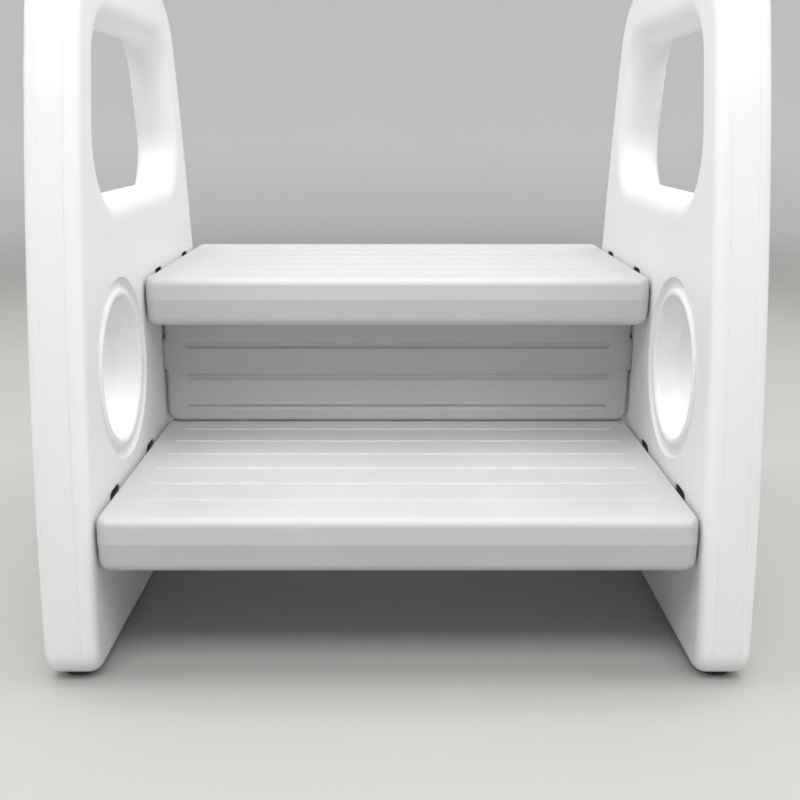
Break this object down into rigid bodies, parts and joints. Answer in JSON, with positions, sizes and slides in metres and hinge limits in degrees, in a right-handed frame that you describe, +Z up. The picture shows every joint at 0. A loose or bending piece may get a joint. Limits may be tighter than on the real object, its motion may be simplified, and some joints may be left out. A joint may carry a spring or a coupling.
{
  "type": "step stool",
  "caption": "Low double step with plastic side panels that rise into rounded hand-holds, each with a round porthole, joined by two grooved treads and a riser.",
  "frame": {"origin": "on the floor, at the middle of the overall footprint", "axes": "+Z up, +Y the way the user climbs, +X to the climber's right across the stool"},
  "size_m": [0.5232, 0.4746, 0.52],
  "materials": {
    "panel_plastic": "white satin blow-moulded polyethylene, fine texture",
    "tread_plastic": "white satin blow-moulded polyethylene, shallow anti-slip grooves",
    "riser_plastic": "white satin blow-moulded polyethylene",
    "cap_plastic": "white satin push-in cap",
    "bolt_steel": "zinc-plated steel",
    "washer_steel": "zinc-plated steel",
    "insert_brass": "knurled brass",
    "foot_rubber": "dark grey non-slip rubber"
  },
  "bodies": {
    "root": {"left_panel": "panel_plastic", "right_panel": "panel_plastic", "lower_tread": "tread_plastic", "upper_tread": "tread_plastic", "riser": "riser_plastic", "lower_front_bolt_left": "bolt_steel", "lower_front_washer_left": "washer_steel", "lower_front_insert_left": "insert_brass", "lower_front_cap_left": "cap_plastic", "lower_rear_bolt_left": "bolt_steel", "lower_rear_washer_left": "washer_steel", "lower_rear_insert_left": "insert_brass", "lower_rear_cap_left": "cap_plastic", "upper_front_bolt_left": "bolt_steel", "upper_front_washer_left": "washer_steel", "upper_front_insert_left": "insert_brass", "upper_front_cap_left": "cap_plastic", "upper_rear_bolt_left": "bolt_steel", "upper_rear_washer_left": "washer_steel", "upper_rear_insert_left": "insert_brass", "upper_rear_cap_left": "cap_plastic", "riser_bolt_left": "bolt_steel", "riser_washer_left": "washer_steel", "riser_insert_left": "insert_brass", "riser_cap_left": "cap_plastic", "front_foot_left": "foot_rubber", "rear_foot_left": "foot_rubber", "lower_front_bolt_right": "bolt_steel", "lower_front_washer_right": "washer_steel", "lower_front_insert_right": "insert_brass", "lower_front_cap_right": "cap_plastic", "lower_rear_bolt_right": "bolt_steel", "lower_rear_washer_right": "washer_steel", "lower_rear_insert_right": "insert_brass", "lower_rear_cap_right": "cap_plastic", "upper_front_bolt_right": "bolt_steel", "upper_front_washer_right": "washer_steel", "upper_front_insert_right": "insert_brass", "upper_front_cap_right": "cap_plastic", "upper_rear_bolt_right": "bolt_steel", "upper_rear_washer_right": "washer_steel", "upper_rear_insert_right": "insert_brass", "upper_rear_cap_right": "cap_plastic", "riser_bolt_right": "bolt_steel", "riser_washer_right": "washer_steel", "riser_insert_right": "insert_brass", "riser_cap_right": "cap_plastic", "front_foot_right": "foot_rubber", "rear_foot_right": "foot_rubber"}
  },
  "joints": []
}
